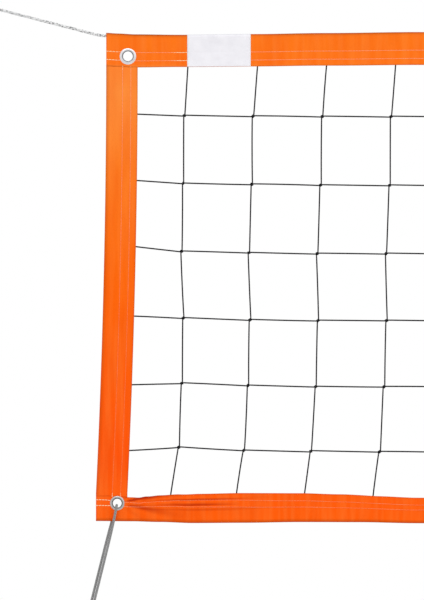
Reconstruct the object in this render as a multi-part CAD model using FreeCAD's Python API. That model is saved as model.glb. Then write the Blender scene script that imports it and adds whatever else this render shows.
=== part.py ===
"""Beach volleyball net: a square-mesh net bound in tarpaulin tape, carried by a steel rope.

Millimetres, +Z up, +X along the net, -Y is the front of the net.  The origin is the middle of the
top rope's axis.  Everything outside the net's right end is built once and mirrored for the left.
"""
import FreeCAD, Part
import math
import os

os.makedirs("parts", exist_ok=True)
V = FreeCAD.Vector

# ---- overall sizes ----
NET_LENGTH = 8500.0          # top band, end to end
NET_HEIGHT = 1000.0          # top fold to bottom fold
BOTTOM_STRETCH = 21.0        # each bottom corner is pulled this far past the top corner

# ---- tape bands: one strip folded over the edge of the mesh ----
TAPE = 0.9                   # thickness of one leaf of tarpaulin
TOP_BAND_HEIGHT = 66.0
BOTTOM_BAND_HEIGHT = 59.0
SIDE_BAND_WIDTH = 64.0
TOP_TUNNEL = 36.0            # fold to the inner row of stitches
BOTTOM_TUNNEL = 31.0
SIDE_TUNNEL = 32.0

# ---- mesh ----
MESH_CORD = 2.4
MESH_SIZE = 140.0            # nominal side of a square, knot to knot
MESH_FIT = 0.1               # between the mesh and each leaf of the tape
FIRST_CORD_DROP = 171.0      # top fold to the first whole cord
LAST_CORD_RISE = 148.0       # bottom fold to the last whole cord
FIRST_CORD_INSET = 156.0     # side fold to the first whole cord
TOP_BORDER_INSET = 42.0      # folds to the border cord that the tape is sewn round
BOTTOM_BORDER_INSET = 38.0
SIDE_BORDER_INSET = 40.0

# ---- label patch, wrapped over the top band ----
LABEL_START = 166.0          # left end of the top band to the patch
LABEL_WIDTH = 130.0
LABEL_THICKNESS = 0.3

# ---- eyelets ----
TOP_EYELET_BORE = 10.0
TOP_EYELET_RIM = 16.9
TOP_EYELET_INSET = 44.5
TOP_EYELET_DROP = 46.5
BOTTOM_EYELET_BORE = 9.0
BOTTOM_EYELET_RIM = 15.0
BOTTOM_EYELET_INSET = 43.7
BOTTOM_EYELET_RISE = 38.3
EYELET_WALL = 0.8            # barrel wall
EYELET_DOME = 1.5            # how far the front rim stands proud
LIP_WIDTH = 3.0              # lip rolled over the washer
LIP_HEIGHT = 1.0
WASHER = 0.8
WASHER_FIT = 0.1
BARREL_FIT = 0.05            # barrel to tape
MESH_CLEARANCE = 0.5         # barrel to mesh

# ---- top rope ----
ROPE = 6.0
TUNNEL_FIT = 0.4             # rope to the inside of the fold
ROPE_RISE = 14.5             # degrees, from the band's end up to the post
ROPE_FIRST_RUN = 12.0        # band's end to the bend
ROPE_RUN = 240.0             # bend to the ferrule

# ---- rope eye: pressed ferrule and thimble ----
FERRULE_LENGTH = 24.0
FERRULE_WALL = 1.5
FERRULE_WEB = 0.6            # between the two bores
ROPE_FIT = 0.05
EYE_REACH = 44.0             # ferrule to the thimble's centre
EYE_MOUTH = 5.0              # ferrule to the point where the rope's two legs part
THIMBLE_BORE = 9.0           # inside radius
THIMBLE_WALL = 1.2
THIMBLE_LIP = 0.8            # groove past the rope's axis
THIMBLE_LEG = 30.0           # thimble's centre to the ends of its legs

# ---- snap hook ----
HOOK_ROD = 6.0
HOOK_BEND = 10.0             # radius of each end, on the rod's axis
HOOK_LENGTH = 60.0           # between the rod axes at the two ends
HOOK_SLACK = 0.3             # hook to thimble
TONGUE = 2.4
TONGUE_FIT = 0.1
ROD_PAST_BEND = 1.0          # full rod before the hinge tongue
HINGE_PAST_BEND = 5.0        # end of the bend to the gate's pin
GATE_ROD = 6.8
GATE_END_GAP = 0.4
NOSE_ROD = 5.6               # full rod past the far bend, before the nose tongue
NOSE_TONGUE = 4.4
PIN = 2.4
PIN_FIT = 0.05
PIN_HEAD = 3.6
PIN_HEAD_HEIGHT = 0.6
PIN_HEAD_GAP = 0.05

# ---- tie cord: doubled through each bottom eyelet ----
TIE_CORD = 5.6
TIE_LEAN = 14.0              # degrees from straight down, outwards
TIE_START = 4.5              # eyelet's centre to the cord's axis in the bore
TIE_BIGHT = 8.6              # bend radius round the eyelet's rim
TIE_LENGTH = 262.0           # eyelet's centre to the knot
TIE_SPREAD = 2.9             # each strand's distance from the middle line at the knot
TIE_NEAR_POINT = 52.0        # where the strands begin to lie side by side
TIE_NEAR_SPREAD = 1.5
TIE_NEAR_STANDOFF = 7.2      # strand's axis to the net's plane there
TIE_FAR_POINT = 160.0
TIE_FAR_SPREAD = 2.7
TIE_FAR_STANDOFF = 3.2
KNOT_DIAMETER = 19.0
KNOT_LENGTH = 24.0
KNOT_ROUNDING = 3.5
TAIL_LENGTH = 30.0
TAIL_SPLAY = 12.0            # degrees between each tail and the middle line

# ---- worked out from the sizes above ----
HALF_LENGTH = NET_LENGTH / 2
HALF_SLOT = MESH_CORD / 2 + MESH_FIT
HALF_BAND = HALF_SLOT + TAPE
ROPE_RADIUS = ROPE / 2
TUNNEL_RADIUS = ROPE_RADIUS + TUNNEL_FIT
FOLD_RADIUS = TUNNEL_RADIUS + TAPE
TOP = FOLD_RADIUS
BOTTOM = TOP - NET_HEIGHT
TOP_BAND_LOW = TOP - TOP_BAND_HEIGHT
BOTTOM_BAND_HIGH = BOTTOM + BOTTOM_BAND_HEIGHT
HALF_BOTTOM_LENGTH = HALF_LENGTH + BOTTOM_STRETCH
TIE_RADIUS = TIE_CORD / 2
MIRROR_PLANE = V(1, 0, 0)

pieces = {}


def flip(shape):
    """The same piece at the other end of the net."""
    return shape.mirror(V(0, 0, 0), MIRROR_PLANE)


def box(low, high):
    """A block between two corners."""
    size = high.sub(low)
    return Part.makeBox(size.x, size.y, size.z, low)


def along_y(radius, x, z, half):
    """A round bar along Y, centred on the net's plane."""
    return Part.makeCylinder(radius, 2 * half, V(x, -half, z), V(0, 1, 0))


def bent_wire(points, radii):
    """Straight runs joined by tangent arcs: one radius for each inner point."""
    edges = []
    last = points[0]
    for here, before, after, radius in zip(points[1:-1], points[:-2], points[2:], radii):
        back = before.sub(here).normalize()
        ahead = after.sub(here).normalize()
        half_turn = (math.pi - back.getAngle(ahead)) / 2
        cut = radius * math.tan(half_turn)
        start = here + back * cut
        end = here + ahead * cut
        middle = (back + ahead).normalize()
        inside = here + middle * (radius / math.cos(half_turn) - radius)
        if (start - last).Length > 1e-6:
            edges.append(Part.LineSegment(last, start).toShape())
        edges.append(Part.Arc(start, inside, end).toShape())
        last = end
    if (points[-1] - last).Length > 1e-6:
        edges.append(Part.LineSegment(last, points[-1]).toShape())
    return Part.Wire(edges)


def tube(wire, radius):
    """A round bar that follows a wire."""
    start = wire.Edges[0].Vertexes[0].Point
    tangent = wire.Edges[0].tangentAt(wire.Edges[0].FirstParameter)
    ring = Part.Wire(Part.Circle(start, tangent, radius).toShape())
    return wire.makePipeShell([ring], True, False)


def widest_radius(points, index):
    """The largest arc that the two runs at a point leave room for."""
    here = points[index]
    back = points[index - 1].sub(here)
    ahead = points[index + 1].sub(here)
    half_turn = (math.pi - back.getAngle(ahead)) / 2
    return 0.45 * min(back.Length, ahead.Length) / math.tan(half_turn)


# ---- bands ----
def side_bow(z):
    """How far the side fold has moved outwards at a height: none at the top, all at the bottom."""
    depth = (TOP_BAND_LOW - z) / (TOP_BAND_LOW - BOTTOM_BAND_HIGH)
    return BOTTOM_STRETCH * min(max(depth, 0.0), 1.0) ** 2


def top_section(grow):
    """The top band's section as faces: a round fold on the rope, and the flat below it."""
    fold = Part.makeCylinder(FOLD_RADIUS + grow, 1.0, V(0, 0, 0), V(1, 0, 0))
    half = HALF_BAND + grow
    flat = box(V(0, -half, TOP_BAND_LOW), V(1.0, half, 0))
    section = fold.fuse(flat).removeSplitter()
    return [face for face in section.Faces if face.CenterOfMass.x < 0.001][0]


def top_solid(grow, start, end):
    """A stretch of the top band's outside, made larger by grow."""
    face = top_section(grow)
    face.translate(V(start, 0, 0))
    return face.extrude(V(end - start, 0, 0))


def make_top_band():
    band = top_solid(0.0, -HALF_LENGTH, HALF_LENGTH)
    tunnel = Part.makeCylinder(TUNNEL_RADIUS, NET_LENGTH, V(-HALF_LENGTH, 0, 0), V(1, 0, 0))
    slot = box(V(-HALF_LENGTH, -HALF_SLOT, TOP_BAND_LOW),
               V(HALF_LENGTH, HALF_SLOT, TOP - TOP_TUNNEL))
    return band.cut(tunnel).cut(slot)


def make_bottom_band():
    band = box(V(-HALF_BOTTOM_LENGTH, -HALF_BAND, BOTTOM),
               V(HALF_BOTTOM_LENGTH, HALF_BAND, BOTTOM_BAND_HIGH))
    fold_edges = [edge for edge in band.Edges
                  if abs(edge.CenterOfMass.z - BOTTOM) < 0.001 and edge.Length > NET_LENGTH / 2]
    band = band.makeFillet(HALF_BAND * 0.9, fold_edges)
    slot = box(V(-HALF_BOTTOM_LENGTH, -HALF_SLOT, BOTTOM + BOTTOM_TUNNEL),
               V(HALF_BOTTOM_LENGTH, HALF_SLOT, BOTTOM_BAND_HIGH))
    return band.cut(slot)


def side_curve(inset):
    """The right side fold's line, or a line parallel to it further in."""
    points = []
    for z in (TOP_BAND_LOW, (TOP_BAND_LOW + BOTTOM_BAND_HIGH) / 2, BOTTOM_BAND_HIGH):
        points.append(V(HALF_LENGTH + side_bow(z) - inset, 0, z))
    return points


def side_plate(outer, inner, half):
    """A flat strip between two insets from the side fold."""
    outside = side_curve(outer)
    inside = side_curve(inner)
    outline = Part.Wire([
        Part.Arc(*outside).toShape(),
        Part.LineSegment(outside[2], inside[2]).toShape(),
        Part.Arc(inside[2], inside[1], inside[0]).toShape(),
        Part.LineSegment(inside[0], outside[0]).toShape(),
    ])
    face = Part.Face(outline)
    face.translate(V(0, -half, 0))
    return face.extrude(V(0, 2 * half, 0))


def make_side_band():
    band = side_plate(0.0, SIDE_BAND_WIDTH, HALF_BAND)
    return band.cut(side_plate(SIDE_TUNNEL, SIDE_BAND_WIDTH, HALF_SLOT))


def make_label():
    start = -HALF_LENGTH + LABEL_START
    end = start + LABEL_WIDTH
    patch = top_solid(LABEL_THICKNESS, start, end)
    return patch.cut(top_solid(0.0, start, end))


# ---- mesh ----
def even_steps(first, last, pitch):
    """Places from first to last, as near to the pitch apart as a whole number allows."""
    count = max(1, round(abs(last - first) / pitch))
    return [first + (last - first) * i / count for i in range(count + 1)]


def mesh_rows():
    rows = even_steps(TOP - FIRST_CORD_DROP, BOTTOM + LAST_CORD_RISE, MESH_SIZE)
    return [TOP - TOP_BORDER_INSET] + rows + [BOTTOM + BOTTOM_BORDER_INSET]


def mesh_columns():
    first = HALF_LENGTH - FIRST_CORD_INSET
    border = HALF_LENGTH - SIDE_BORDER_INSET
    return [-border] + even_steps(-first, first, MESH_SIZE) + [border]


def knot(x, z):
    """A knot's place: the columns fan out evenly as the sides bow."""
    return V(x * (1 + side_bow(z) / HALF_LENGTH), 0, z)


def polygon(points):
    return Part.makePolygon(points + [points[0]])


def make_mesh():
    rows = mesh_rows()
    columns = mesh_columns()
    half = MESH_CORD / 2
    left, right = columns[0], columns[-1]
    outline = []
    for z, shift in [(rows[0], half)] + [(z, 0) for z in rows[1:-1]] + [(rows[-1], -half)]:
        outline.append(knot(right, z) + V(half, 0, shift))
    for z, shift in [(rows[-1], -half)] + [(z, 0) for z in rows[-2:0:-1]] + [(rows[0], half)]:
        outline.append(knot(left, z) + V(-half, 0, shift))
    wires = [polygon(outline)]
    for x0, x1 in zip(columns[:-1], columns[1:]):
        for z0, z1 in zip(rows[:-1], rows[1:]):
            wires.append(polygon([
                knot(x0, z0) + V(half, 0, -half),
                knot(x1, z0) + V(-half, 0, -half),
                knot(x1, z1) + V(-half, 0, half),
                knot(x0, z1) + V(half, 0, half),
            ]))
    face = Part.makeFace(wires, "Part::FaceMakerCheese")
    face.translate(V(0, -half, 0))
    panel = face.extrude(V(0, MESH_CORD, 0))
    return panel.Solids[0] if panel.Solids else panel


# ---- eyelets ----
def spun(edges, x, z):
    """A profile drawn as (radius, 0, depth) spun about an axis along Y through x, z."""
    solid = Part.Face(Part.Wire(edges)).revolve(V(0, 0, 0), V(0, 0, 1), 360)
    solid = Part.Solid(solid) if solid.ShapeType == "Shell" else solid
    solid.rotate(V(0, 0, 0), V(1, 0, 0), -90)
    solid.translate(V(x, 0, z))
    return solid


def ring_path(points):
    """A closed profile: a point pair makes a line, and a triple with a crest makes an arc."""
    edges = []
    for here, after in zip(points, points[1:] + points[:1]):
        start = V(here[0], 0, here[1])
        end = V(after[0], 0, after[1])
        if len(here) == 4:
            edges.append(Part.Arc(start, V(here[2], 0, here[3]), end).toShape())
        else:
            edges.append(Part.LineSegment(start, end).toShape())
    return edges


def make_eyelet(bore, rim, x, z):
    front = -HALF_BAND
    washer_face = HALF_BAND + WASHER
    barrel = bore + EYELET_WALL
    return spun(ring_path([
        (bore, front, (bore + rim) / 2, front - EYELET_DOME),
        (rim, front),
        (barrel, front),
        (barrel, washer_face),
        (bore + LIP_WIDTH, washer_face, bore + LIP_WIDTH / 2, washer_face + LIP_HEIGHT),
        (bore, washer_face),
    ]), x, z)


def make_washer(bore, rim, x, z):
    inside = bore + EYELET_WALL + WASHER_FIT
    back = HALF_BAND + WASHER
    edge = rim - WASHER
    corner = WASHER * math.sqrt(0.5)
    return spun(ring_path([
        (inside, HALF_BAND),
        (rim, HALF_BAND, edge + corner, HALF_BAND + corner),
        (edge, back),
        (inside, back),
    ]), x, z)


def eyelet_hole(bore, extra, x, z):
    return along_y(bore + EYELET_WALL + extra, x, z, 2 * HALF_BAND)


# ---- rope end: run, eye, ferrule, thimble ----
def eye_route():
    """The rope's axis round the thimble, with the thimble's centre at the origin and the net at -X."""
    offset = ROPE_RADIUS + ROPE_FIT + FERRULE_WEB / 2
    bend = THIMBLE_BORE + THIMBLE_WALL + ROPE_FIT + ROPE_RADIUS
    parting = EYE_REACH - EYE_MOUTH
    slope = math.asin(bend / math.hypot(parting, offset)) - math.atan2(offset, parting)
    turn = (math.pi + 2 * slope) / 3
    corner = bend / math.cos(turn / 2)
    points = [V(-EYE_REACH - FERRULE_LENGTH / 2, 0, offset), V(-parting, 0, offset)]
    for i in (1, 0, -1):
        points.append(V(corner * math.cos(turn * i), 0, corner * math.sin(turn * i)))
    points += [V(-parting, 0, -offset), V(-EYE_REACH - FERRULE_LENGTH + ROPE_RADIUS, 0, -offset)]
    mouth = EYE_MOUTH / math.tan(slope / 2)
    return points, [mouth, bend, bend, bend, mouth], offset, bend


def thimble_wire(bend, slope, leg_end):
    """The rope's axis in the thimble: a leg, the bend and the other leg, from leg_end back to it."""
    touch = V(-bend * math.sin(slope), 0, bend * math.cos(slope))
    leg = (leg_end - bend * math.sin(slope)) / math.cos(slope)
    start = touch - V(math.cos(slope), 0, math.sin(slope)) * leg
    return Part.Wire([
        Part.LineSegment(start, touch).toShape(),
        Part.Arc(touch, V(bend, 0, 0), V(touch.x, 0, -touch.z)).toShape(),
        Part.LineSegment(V(touch.x, 0, -touch.z), V(start.x, 0, -start.z)).toShape(),
    ])


def make_thimble(route, bend):
    """A gutter for the rope, open to the outside: a thick tube less the rope and its outer half."""
    slope = turn_of_leg(route)
    outside = tube(thimble_wire(bend, slope, THIMBLE_LEG), ROPE_RADIUS + ROPE_FIT + THIMBLE_WALL)
    groove = tube(thimble_wire(bend, slope, THIMBLE_LEG + ROPE_RADIUS), ROPE_RADIUS + ROPE_FIT)
    half = ROPE
    keep = bend + THIMBLE_LIP
    reach = keep / math.sin(slope)
    touch = V(-keep * math.sin(slope), 0, keep * math.cos(slope))
    outline = Part.Wire([
        Part.LineSegment(V(-reach, 0, 0), touch).toShape(),
        Part.Arc(touch, V(keep, 0, 0), V(touch.x, 0, -touch.z)).toShape(),
        Part.LineSegment(V(touch.x, 0, -touch.z), V(-reach, 0, 0)).toShape(),
    ])
    face = Part.Face(outline)
    face.translate(V(0, -half, 0))
    inner_side = face.extrude(V(0, 2 * half, 0))
    return outside.cut(groove).common(inner_side)


def turn_of_leg(route):
    """The angle between a leg of the eye and the rope's line."""
    leg = route[2].sub(route[1])
    return math.atan2(leg.z, leg.x)


def make_ferrule(offset):
    reach = ROPE_RADIUS + ROPE_FIT + FERRULE_WALL
    start = V(-EYE_REACH - FERRULE_LENGTH, 0, 0)
    block = box(start + V(0, -reach, -offset), start + V(FERRULE_LENGTH, reach, offset))
    for side in (-1, 1):
        end = start + V(0, 0, side * offset)
        block = block.fuse(Part.makeCylinder(reach, FERRULE_LENGTH, end, V(1, 0, 0)))
    block = block.removeSplitter()
    for side in (-1, 1):
        end = start + V(0, 0, side * offset)
        bore = Part.makeCylinder(ROPE_RADIUS + ROPE_FIT, FERRULE_LENGTH, end, V(1, 0, 0))
        block = block.cut(bore)
    return block


# ---- snap hook, with the rod axis in the thimble at the origin and the hook along +X ----
def hinge_x():
    return HOOK_BEND + HINGE_PAST_BEND


def gate_end_x():
    return HOOK_LENGTH - HOOK_BEND - NOSE_ROD - GATE_END_GAP


def flat_tongue(start, end, round_x):
    """A flat plate on the gate's line; one end is rounded about round_x where that is given."""
    half = TONGUE / 2
    width = HOOK_ROD / 2
    plate = box(V(start, HOOK_BEND - width, -half), V(end, HOOK_BEND + width, half))
    if round_x is None:
        return plate
    disc = Part.makeCylinder(width, TONGUE, V(round_x, HOOK_BEND, -half), V(0, 0, 1))
    return plate.fuse(disc).removeSplitter()


def make_hook_body():
    far = HOOK_LENGTH - HOOK_BEND
    corners = [
        V(HOOK_BEND + ROD_PAST_BEND, HOOK_BEND, 0),
        V(0, HOOK_BEND, 0),
        V(0, -HOOK_BEND, 0),
        V(HOOK_LENGTH, -HOOK_BEND, 0),
        V(HOOK_LENGTH, HOOK_BEND, 0),
        V(far - NOSE_ROD, HOOK_BEND, 0),
    ]
    rod = tube(bent_wire(corners, [HOOK_BEND] * 4), HOOK_ROD / 2)
    hinge = flat_tongue(HOOK_BEND + ROD_PAST_BEND, hinge_x(), hinge_x())
    nose = flat_tongue(far - NOSE_ROD - NOSE_TONGUE, far - NOSE_ROD, None)
    body = rod.fuse([hinge, nose]).removeSplitter()
    hole = Part.makeCylinder(PIN / 2, TONGUE, V(hinge_x(), HOOK_BEND, -TONGUE / 2), V(0, 0, 1))
    return body.cut(hole)


def make_hook_gate():
    radius = GATE_ROD / 2
    start = hinge_x()
    end = gate_end_x()
    gate = Part.makeCylinder(radius, end - start, V(start, HOOK_BEND, 0), V(1, 0, 0))
    ears = Part.makeCylinder(radius, 2 * radius, V(start, HOOK_BEND, -radius), V(0, 0, 1))
    bar = Part.makeCylinder(radius, 2 * radius, V(start - radius, HOOK_BEND, 0), V(1, 0, 0))
    gate = gate.fuse(ears.common(bar)).removeSplitter()
    half = TONGUE / 2 + TONGUE_FIT
    hinge_slot = box(V(start - 2 * radius, HOOK_BEND - 2 * radius, -half),
                     V(start + HOOK_ROD / 2 + GATE_END_GAP, HOOK_BEND + 2 * radius, half))
    tip = HOOK_LENGTH - HOOK_BEND - NOSE_ROD - NOSE_TONGUE
    nose_slot = box(V(tip - GATE_END_GAP, HOOK_BEND - 2 * radius, -half),
                    V(end + radius, HOOK_BEND + 2 * radius, half))
    hole = Part.makeCylinder(PIN / 2 + PIN_FIT, 4 * radius, V(start, HOOK_BEND, -2 * radius), V(0, 0, 1))
    return gate.cut(hinge_slot).cut(nose_slot).cut(hole)


def make_hook_pin():
    """A rivet through the tongue and both ears, with a low head outside each ear."""
    half = GATE_ROD / 2 + PIN_HEAD_GAP
    pin = Part.makeCylinder(PIN / 2, 2 * half, V(hinge_x(), HOOK_BEND, -half), V(0, 0, 1))
    for side in (-1, 1):
        base = V(hinge_x(), HOOK_BEND, side * half)
        pin = pin.fuse(Part.makeCylinder(PIN_HEAD / 2, PIN_HEAD_HEIGHT, base, V(0, 0, side)))
    return pin.removeSplitter()


# ---- tie cord ----
def tie_point(reach, standoff, spread):
    """A point on the right tie: reach from the eyelet's centre, standoff in Y, spread sideways."""
    lean = math.radians(TIE_LEAN)
    down = V(math.sin(lean), 0, -math.cos(lean))
    across = V(math.cos(lean), 0, math.sin(lean))
    centre = V(HALF_BOTTOM_LENGTH - BOTTOM_EYELET_INSET, 0, BOTTOM + BOTTOM_EYELET_RISE)
    return centre + down * reach + across * spread + V(0, standoff, 0)


def tie_route(side):
    """One strand: side -1 is in front of the net and lies nearer its middle, 1 is behind."""
    return [
        tie_point(TIE_START, 0, 0),
        tie_point(TIE_START, side * TIE_BIGHT, 0),
        tie_point(TIE_NEAR_POINT, side * TIE_NEAR_STANDOFF, side * TIE_NEAR_SPREAD),
        tie_point(TIE_FAR_POINT, side * TIE_FAR_STANDOFF, side * TIE_FAR_SPREAD),
        tie_point(TIE_LENGTH, 0, side * TIE_SPREAD),
    ]


def make_tie_strand(side, name):
    route = tie_route(side)
    first_turn = (route[0] - route[1]).getAngle(route[2] - route[1])
    bight = TIE_BIGHT * math.tan(first_turn / 2) * 0.999
    radii = [bight, widest_radius(route, 2), widest_radius(route, 3)]
    wire = bent_wire(route, radii)
    print(name, "arc radii", [round(radius, 1) for radius in radii], "length", round(wire.Length, 1))
    strand = tube(wire, TIE_RADIUS)
    stop = knot_block(TIE_LENGTH, TIE_LENGTH + 2 * KNOT_LENGTH, 2 * KNOT_DIAMETER)
    return strand.cut(stop)


def tie_placed(shape):
    """Turns a shape built along +Z from the origin onto the tie's line at the eyelet's centre."""
    centre = tie_point(0, 0, 0)
    shape.rotate(V(0, 0, 0), V(0, 1, 0), 180 - TIE_LEAN)
    shape.translate(centre)
    return shape


def knot_block(start, end, width):
    """A square block round the tie's line, between two distances from the eyelet."""
    return tie_placed(box(V(-width / 2, -width / 2, start), V(width / 2, width / 2, end)))


def make_tie_knot():
    radius = KNOT_DIAMETER / 2
    body = Part.makeCylinder(radius, KNOT_LENGTH, V(0, 0, TIE_LENGTH))
    body = body.makeFillet(KNOT_ROUNDING, [edge for edge in body.Edges if edge.Closed])
    for side in (-1, 1):
        tail = Part.makeCylinder(TIE_RADIUS, KNOT_LENGTH / 2 + TAIL_LENGTH)
        tail.rotate(V(0, 0, 0), V(0, 1, 0), side * TAIL_SPLAY)
        tail.translate(V(side * TIE_SPREAD, 0, TIE_LENGTH + KNOT_LENGTH / 2))
        body = body.fuse(tail)
    return tie_placed(body.removeSplitter())


# ---- assembly ----
def at_rope_end(shape, start):
    """Turns a rope-end piece up onto the right rope's line; start is its place along that line."""
    placed = shape.copy()
    placed.translate(V(start, 0, 0))
    placed.rotate(V(0, 0, 0), V(0, 1, 0), -ROPE_RISE)
    placed.translate(V(HALF_LENGTH + ROPE_FIRST_RUN, 0, 0))
    return placed


def add_pair(name, right_shape):
    pieces["right_" + name] = right_shape
    pieces["left_" + name] = flip(right_shape)


def add_net():
    top = make_top_band()
    bottom = make_bottom_band()
    mesh = make_mesh()
    eyelets = {
        "top": (TOP_EYELET_BORE, TOP_EYELET_RIM, HALF_LENGTH - TOP_EYELET_INSET,
                TOP - TOP_EYELET_DROP),
        "bottom": (BOTTOM_EYELET_BORE, BOTTOM_EYELET_RIM, HALF_BOTTOM_LENGTH - BOTTOM_EYELET_INSET,
                   BOTTOM + BOTTOM_EYELET_RISE),
    }
    for level, (bore, rim, x, z) in eyelets.items():
        for side in (-1, 1):
            tape_hole = eyelet_hole(bore, BARREL_FIT, side * x, z)
            if level == "top":
                top = top.cut(tape_hole)
            else:
                bottom = bottom.cut(tape_hole)
            mesh = mesh.cut(eyelet_hole(bore, MESH_CLEARANCE, side * x, z))
        add_pair(level + "_eyelet", make_eyelet(bore, rim, x, z))
        add_pair(level + "_eyelet_washer", make_washer(bore, rim, x, z))
    pieces["top_band"] = top
    pieces["bottom_band"] = bottom
    pieces["mesh_panel"] = mesh
    pieces["label_patch"] = make_label()
    add_pair("side_band", make_side_band())


def add_rope():
    pieces["rope_core"] = Part.makeCylinder(ROPE_RADIUS, NET_LENGTH, V(-HALF_LENGTH, 0, 0), V(1, 0, 0))
    rise = math.radians(ROPE_RISE)
    bend = V(HALF_LENGTH + ROPE_FIRST_RUN, 0, 0)
    reach = ROPE_RUN + FERRULE_LENGTH / 2
    route = [V(HALF_LENGTH, 0, 0), bend, bend + V(math.cos(rise), 0, math.sin(rise)) * reach]
    radius = widest_radius(route, 1)
    wire = bent_wire(route, [radius])
    print("rope_run arc radii", [round(radius, 1)], "length", round(wire.Length, 1))
    add_pair("rope_run", tube(wire, ROPE_RADIUS))

    route, radii, offset, eye_bend = eye_route()
    wire = bent_wire(route, radii)
    print("rope_eye arc radii", [round(value, 1) for value in radii], "length", round(wire.Length, 1))
    centre = ROPE_RUN + FERRULE_LENGTH + EYE_REACH
    drop = V(0, 0, -offset)
    parts = {
        "rope_eye": tube(wire, ROPE_RADIUS),
        "rope_ferrule": make_ferrule(offset),
        "rope_thimble": make_thimble(route, eye_bend),
    }
    seat = THIMBLE_BORE - HOOK_ROD / 2 - HOOK_SLACK
    for name, maker in (("hook_body", make_hook_body), ("hook_gate", make_hook_gate),
                        ("hook_pin", make_hook_pin)):
        shape = maker()
        shape.translate(V(seat, 0, 0))
        parts[name] = shape
    for name, shape in parts.items():
        shape.translate(drop)
        add_pair(name, at_rope_end(shape, centre))


def add_ties():
    add_pair("tie_front", make_tie_strand(-1, "tie_front"))
    add_pair("tie_back", make_tie_strand(1, "tie_back"))
    add_pair("tie_knot", make_tie_knot())


add_net()
add_rope()
add_ties()
for node, shape in pieces.items():
    if len(shape.Solids) == 1:
        shape = shape.Solids[0]
    shape.exportStep("parts/" + node + ".step")
    print(node, len(shape.Solids), "solid, valid", shape.isValid(), "volume", round(shape.Volume, 1))
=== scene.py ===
"""Beach volleyball net: the looks.  Metres, +X along the net, +Z up, -Y is the front of the net."""
import bmesh
import bpy
import math
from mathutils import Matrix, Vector, noise


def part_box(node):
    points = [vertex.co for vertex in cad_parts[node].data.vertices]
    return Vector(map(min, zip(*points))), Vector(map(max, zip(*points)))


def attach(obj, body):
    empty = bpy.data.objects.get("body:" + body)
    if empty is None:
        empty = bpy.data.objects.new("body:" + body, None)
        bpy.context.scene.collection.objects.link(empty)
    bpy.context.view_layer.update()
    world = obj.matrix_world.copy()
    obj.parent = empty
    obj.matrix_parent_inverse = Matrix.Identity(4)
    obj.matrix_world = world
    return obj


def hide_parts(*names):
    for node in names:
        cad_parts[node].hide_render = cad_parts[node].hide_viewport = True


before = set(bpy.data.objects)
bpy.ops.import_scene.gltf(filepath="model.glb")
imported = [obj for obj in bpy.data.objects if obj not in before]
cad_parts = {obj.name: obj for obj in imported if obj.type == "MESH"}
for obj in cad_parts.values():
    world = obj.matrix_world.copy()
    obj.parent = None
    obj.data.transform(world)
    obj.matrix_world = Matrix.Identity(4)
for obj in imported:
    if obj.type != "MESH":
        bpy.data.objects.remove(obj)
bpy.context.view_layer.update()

# ---- places, from the frame ----
BAND_LOW, BAND_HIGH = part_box("top_band")
FOOT_LOW, FOOT_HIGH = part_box("bottom_band")
HALF_LENGTH = BAND_HIGH.x
HALF_FOOT = FOOT_HIGH.x
TOP = BAND_HIGH.z
BOTTOM = FOOT_LOW.z
TOP_HEIGHT = TOP - BAND_LOW.z
FOOT_HEIGHT = FOOT_HIGH.z - BOTTOM
STRETCH = HALF_FOOT - HALF_LENGTH

def eyelet_place(level):
    """The middle of a right-hand eyelet."""
    low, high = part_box(f"right_{level}_eyelet")
    return (low + high) / 2


TOP_BORE = 0.010
FOOT_BORE = 0.009
TOP_EYELET = eyelet_place("top")
FOOT_EYELET = eyelet_place("bottom")
TOP_CUT = 0.0128              # radius of the hole in the tape
FOOT_CUT = 0.0115
TOP_SEAM_GAP = 0.0175         # from an eyelet's middle to where the stitches stop
FOOT_SEAM_GAP = 0.0157
BORDER_GAP = 0.016            # and to where the border cords stop
DARK_RING_REACH = 0.0032            # how far out from the bore the painted dark ring of shade and reflection reaches

# ---- tape ----
TAPE = 0.0009                 # one leaf
FLAT_HALF = 0.00172           # middle of the net to the middle of a leaf, where the tape lies flat
ROPE_FOLD = 0.00385           # radius of the fold round the rope, to the middle of the leaf
FOOT_FOLD = 0.0017
SIDE_WIDTH = 0.064
TOP_TUCK = 0.006              # side band's ends under the other bands
SIDE_FOOT = 0.0485            # bottom fold to the side band's lower end
TUCKED_HALF = 0.0009          # middle of the net to the middle of a leaf, where a side band is tucked in
SEAM_PINCH = 0.00012          # how far a seam pulls a leaf in
TOP_SEAM_ROWS = (0.0362, 0.0528)      # fold to the rows of points that follow each seam
FOOT_SEAM_ROWS = (0.0325, 0.0455)
STEPS_ALONG = ((0.75, 0.0045), (1.0, 0.010), (9.0, 0.030))  # up to this far from an end, a point this often
EYELET_ZONE = 0.02            # closer than this to an eyelet, a point this often
EYELET_STEP = 0.0024
LEAF_ROWS = (0.0075, 0.011, 0.015, 0.019, 0.023, 0.027, 0.030)     # and to the rows between
SIDE_STEPS = 190              # rows of faces along a side band, and along the label
LABEL_STEPS = 36
PULL = 0.0020                 # depth of the pull creases at a bottom eyelet
PULL_REACH = 0.085            # how far they run
PULL_START = 0.012            # from the eyelet's middle to where they start
PULL_RISE = 0.015             # over which they reach their full depth
PULL_PEAK = 0.018             # and where they are deepest
PULL_WAY = (0.15, 0.5)        # angle above level that they run at, and how far they fan, in radians
PULL_COUNT = 16               # creases in a full turn
LONG_FOLD = 0.0011            # depth of the long folds beyond them
LONG_FOLD_PLACE = (0.22, 0.11)        # end of the band to their middle, and how far they spread
LONG_FOLD_DEPTH = (0.039, 0.011)      # bottom fold to their middle, and how far they spread
FOLD_SHADE_REACH = 0.0030            # how far the painted shade spreads from a fold
EDGE_SHADE_REACH = 0.0016            # and from a free edge
PUCKER = 0.00022              # height of the gathers where a mesh cord is caught in the seam

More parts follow.
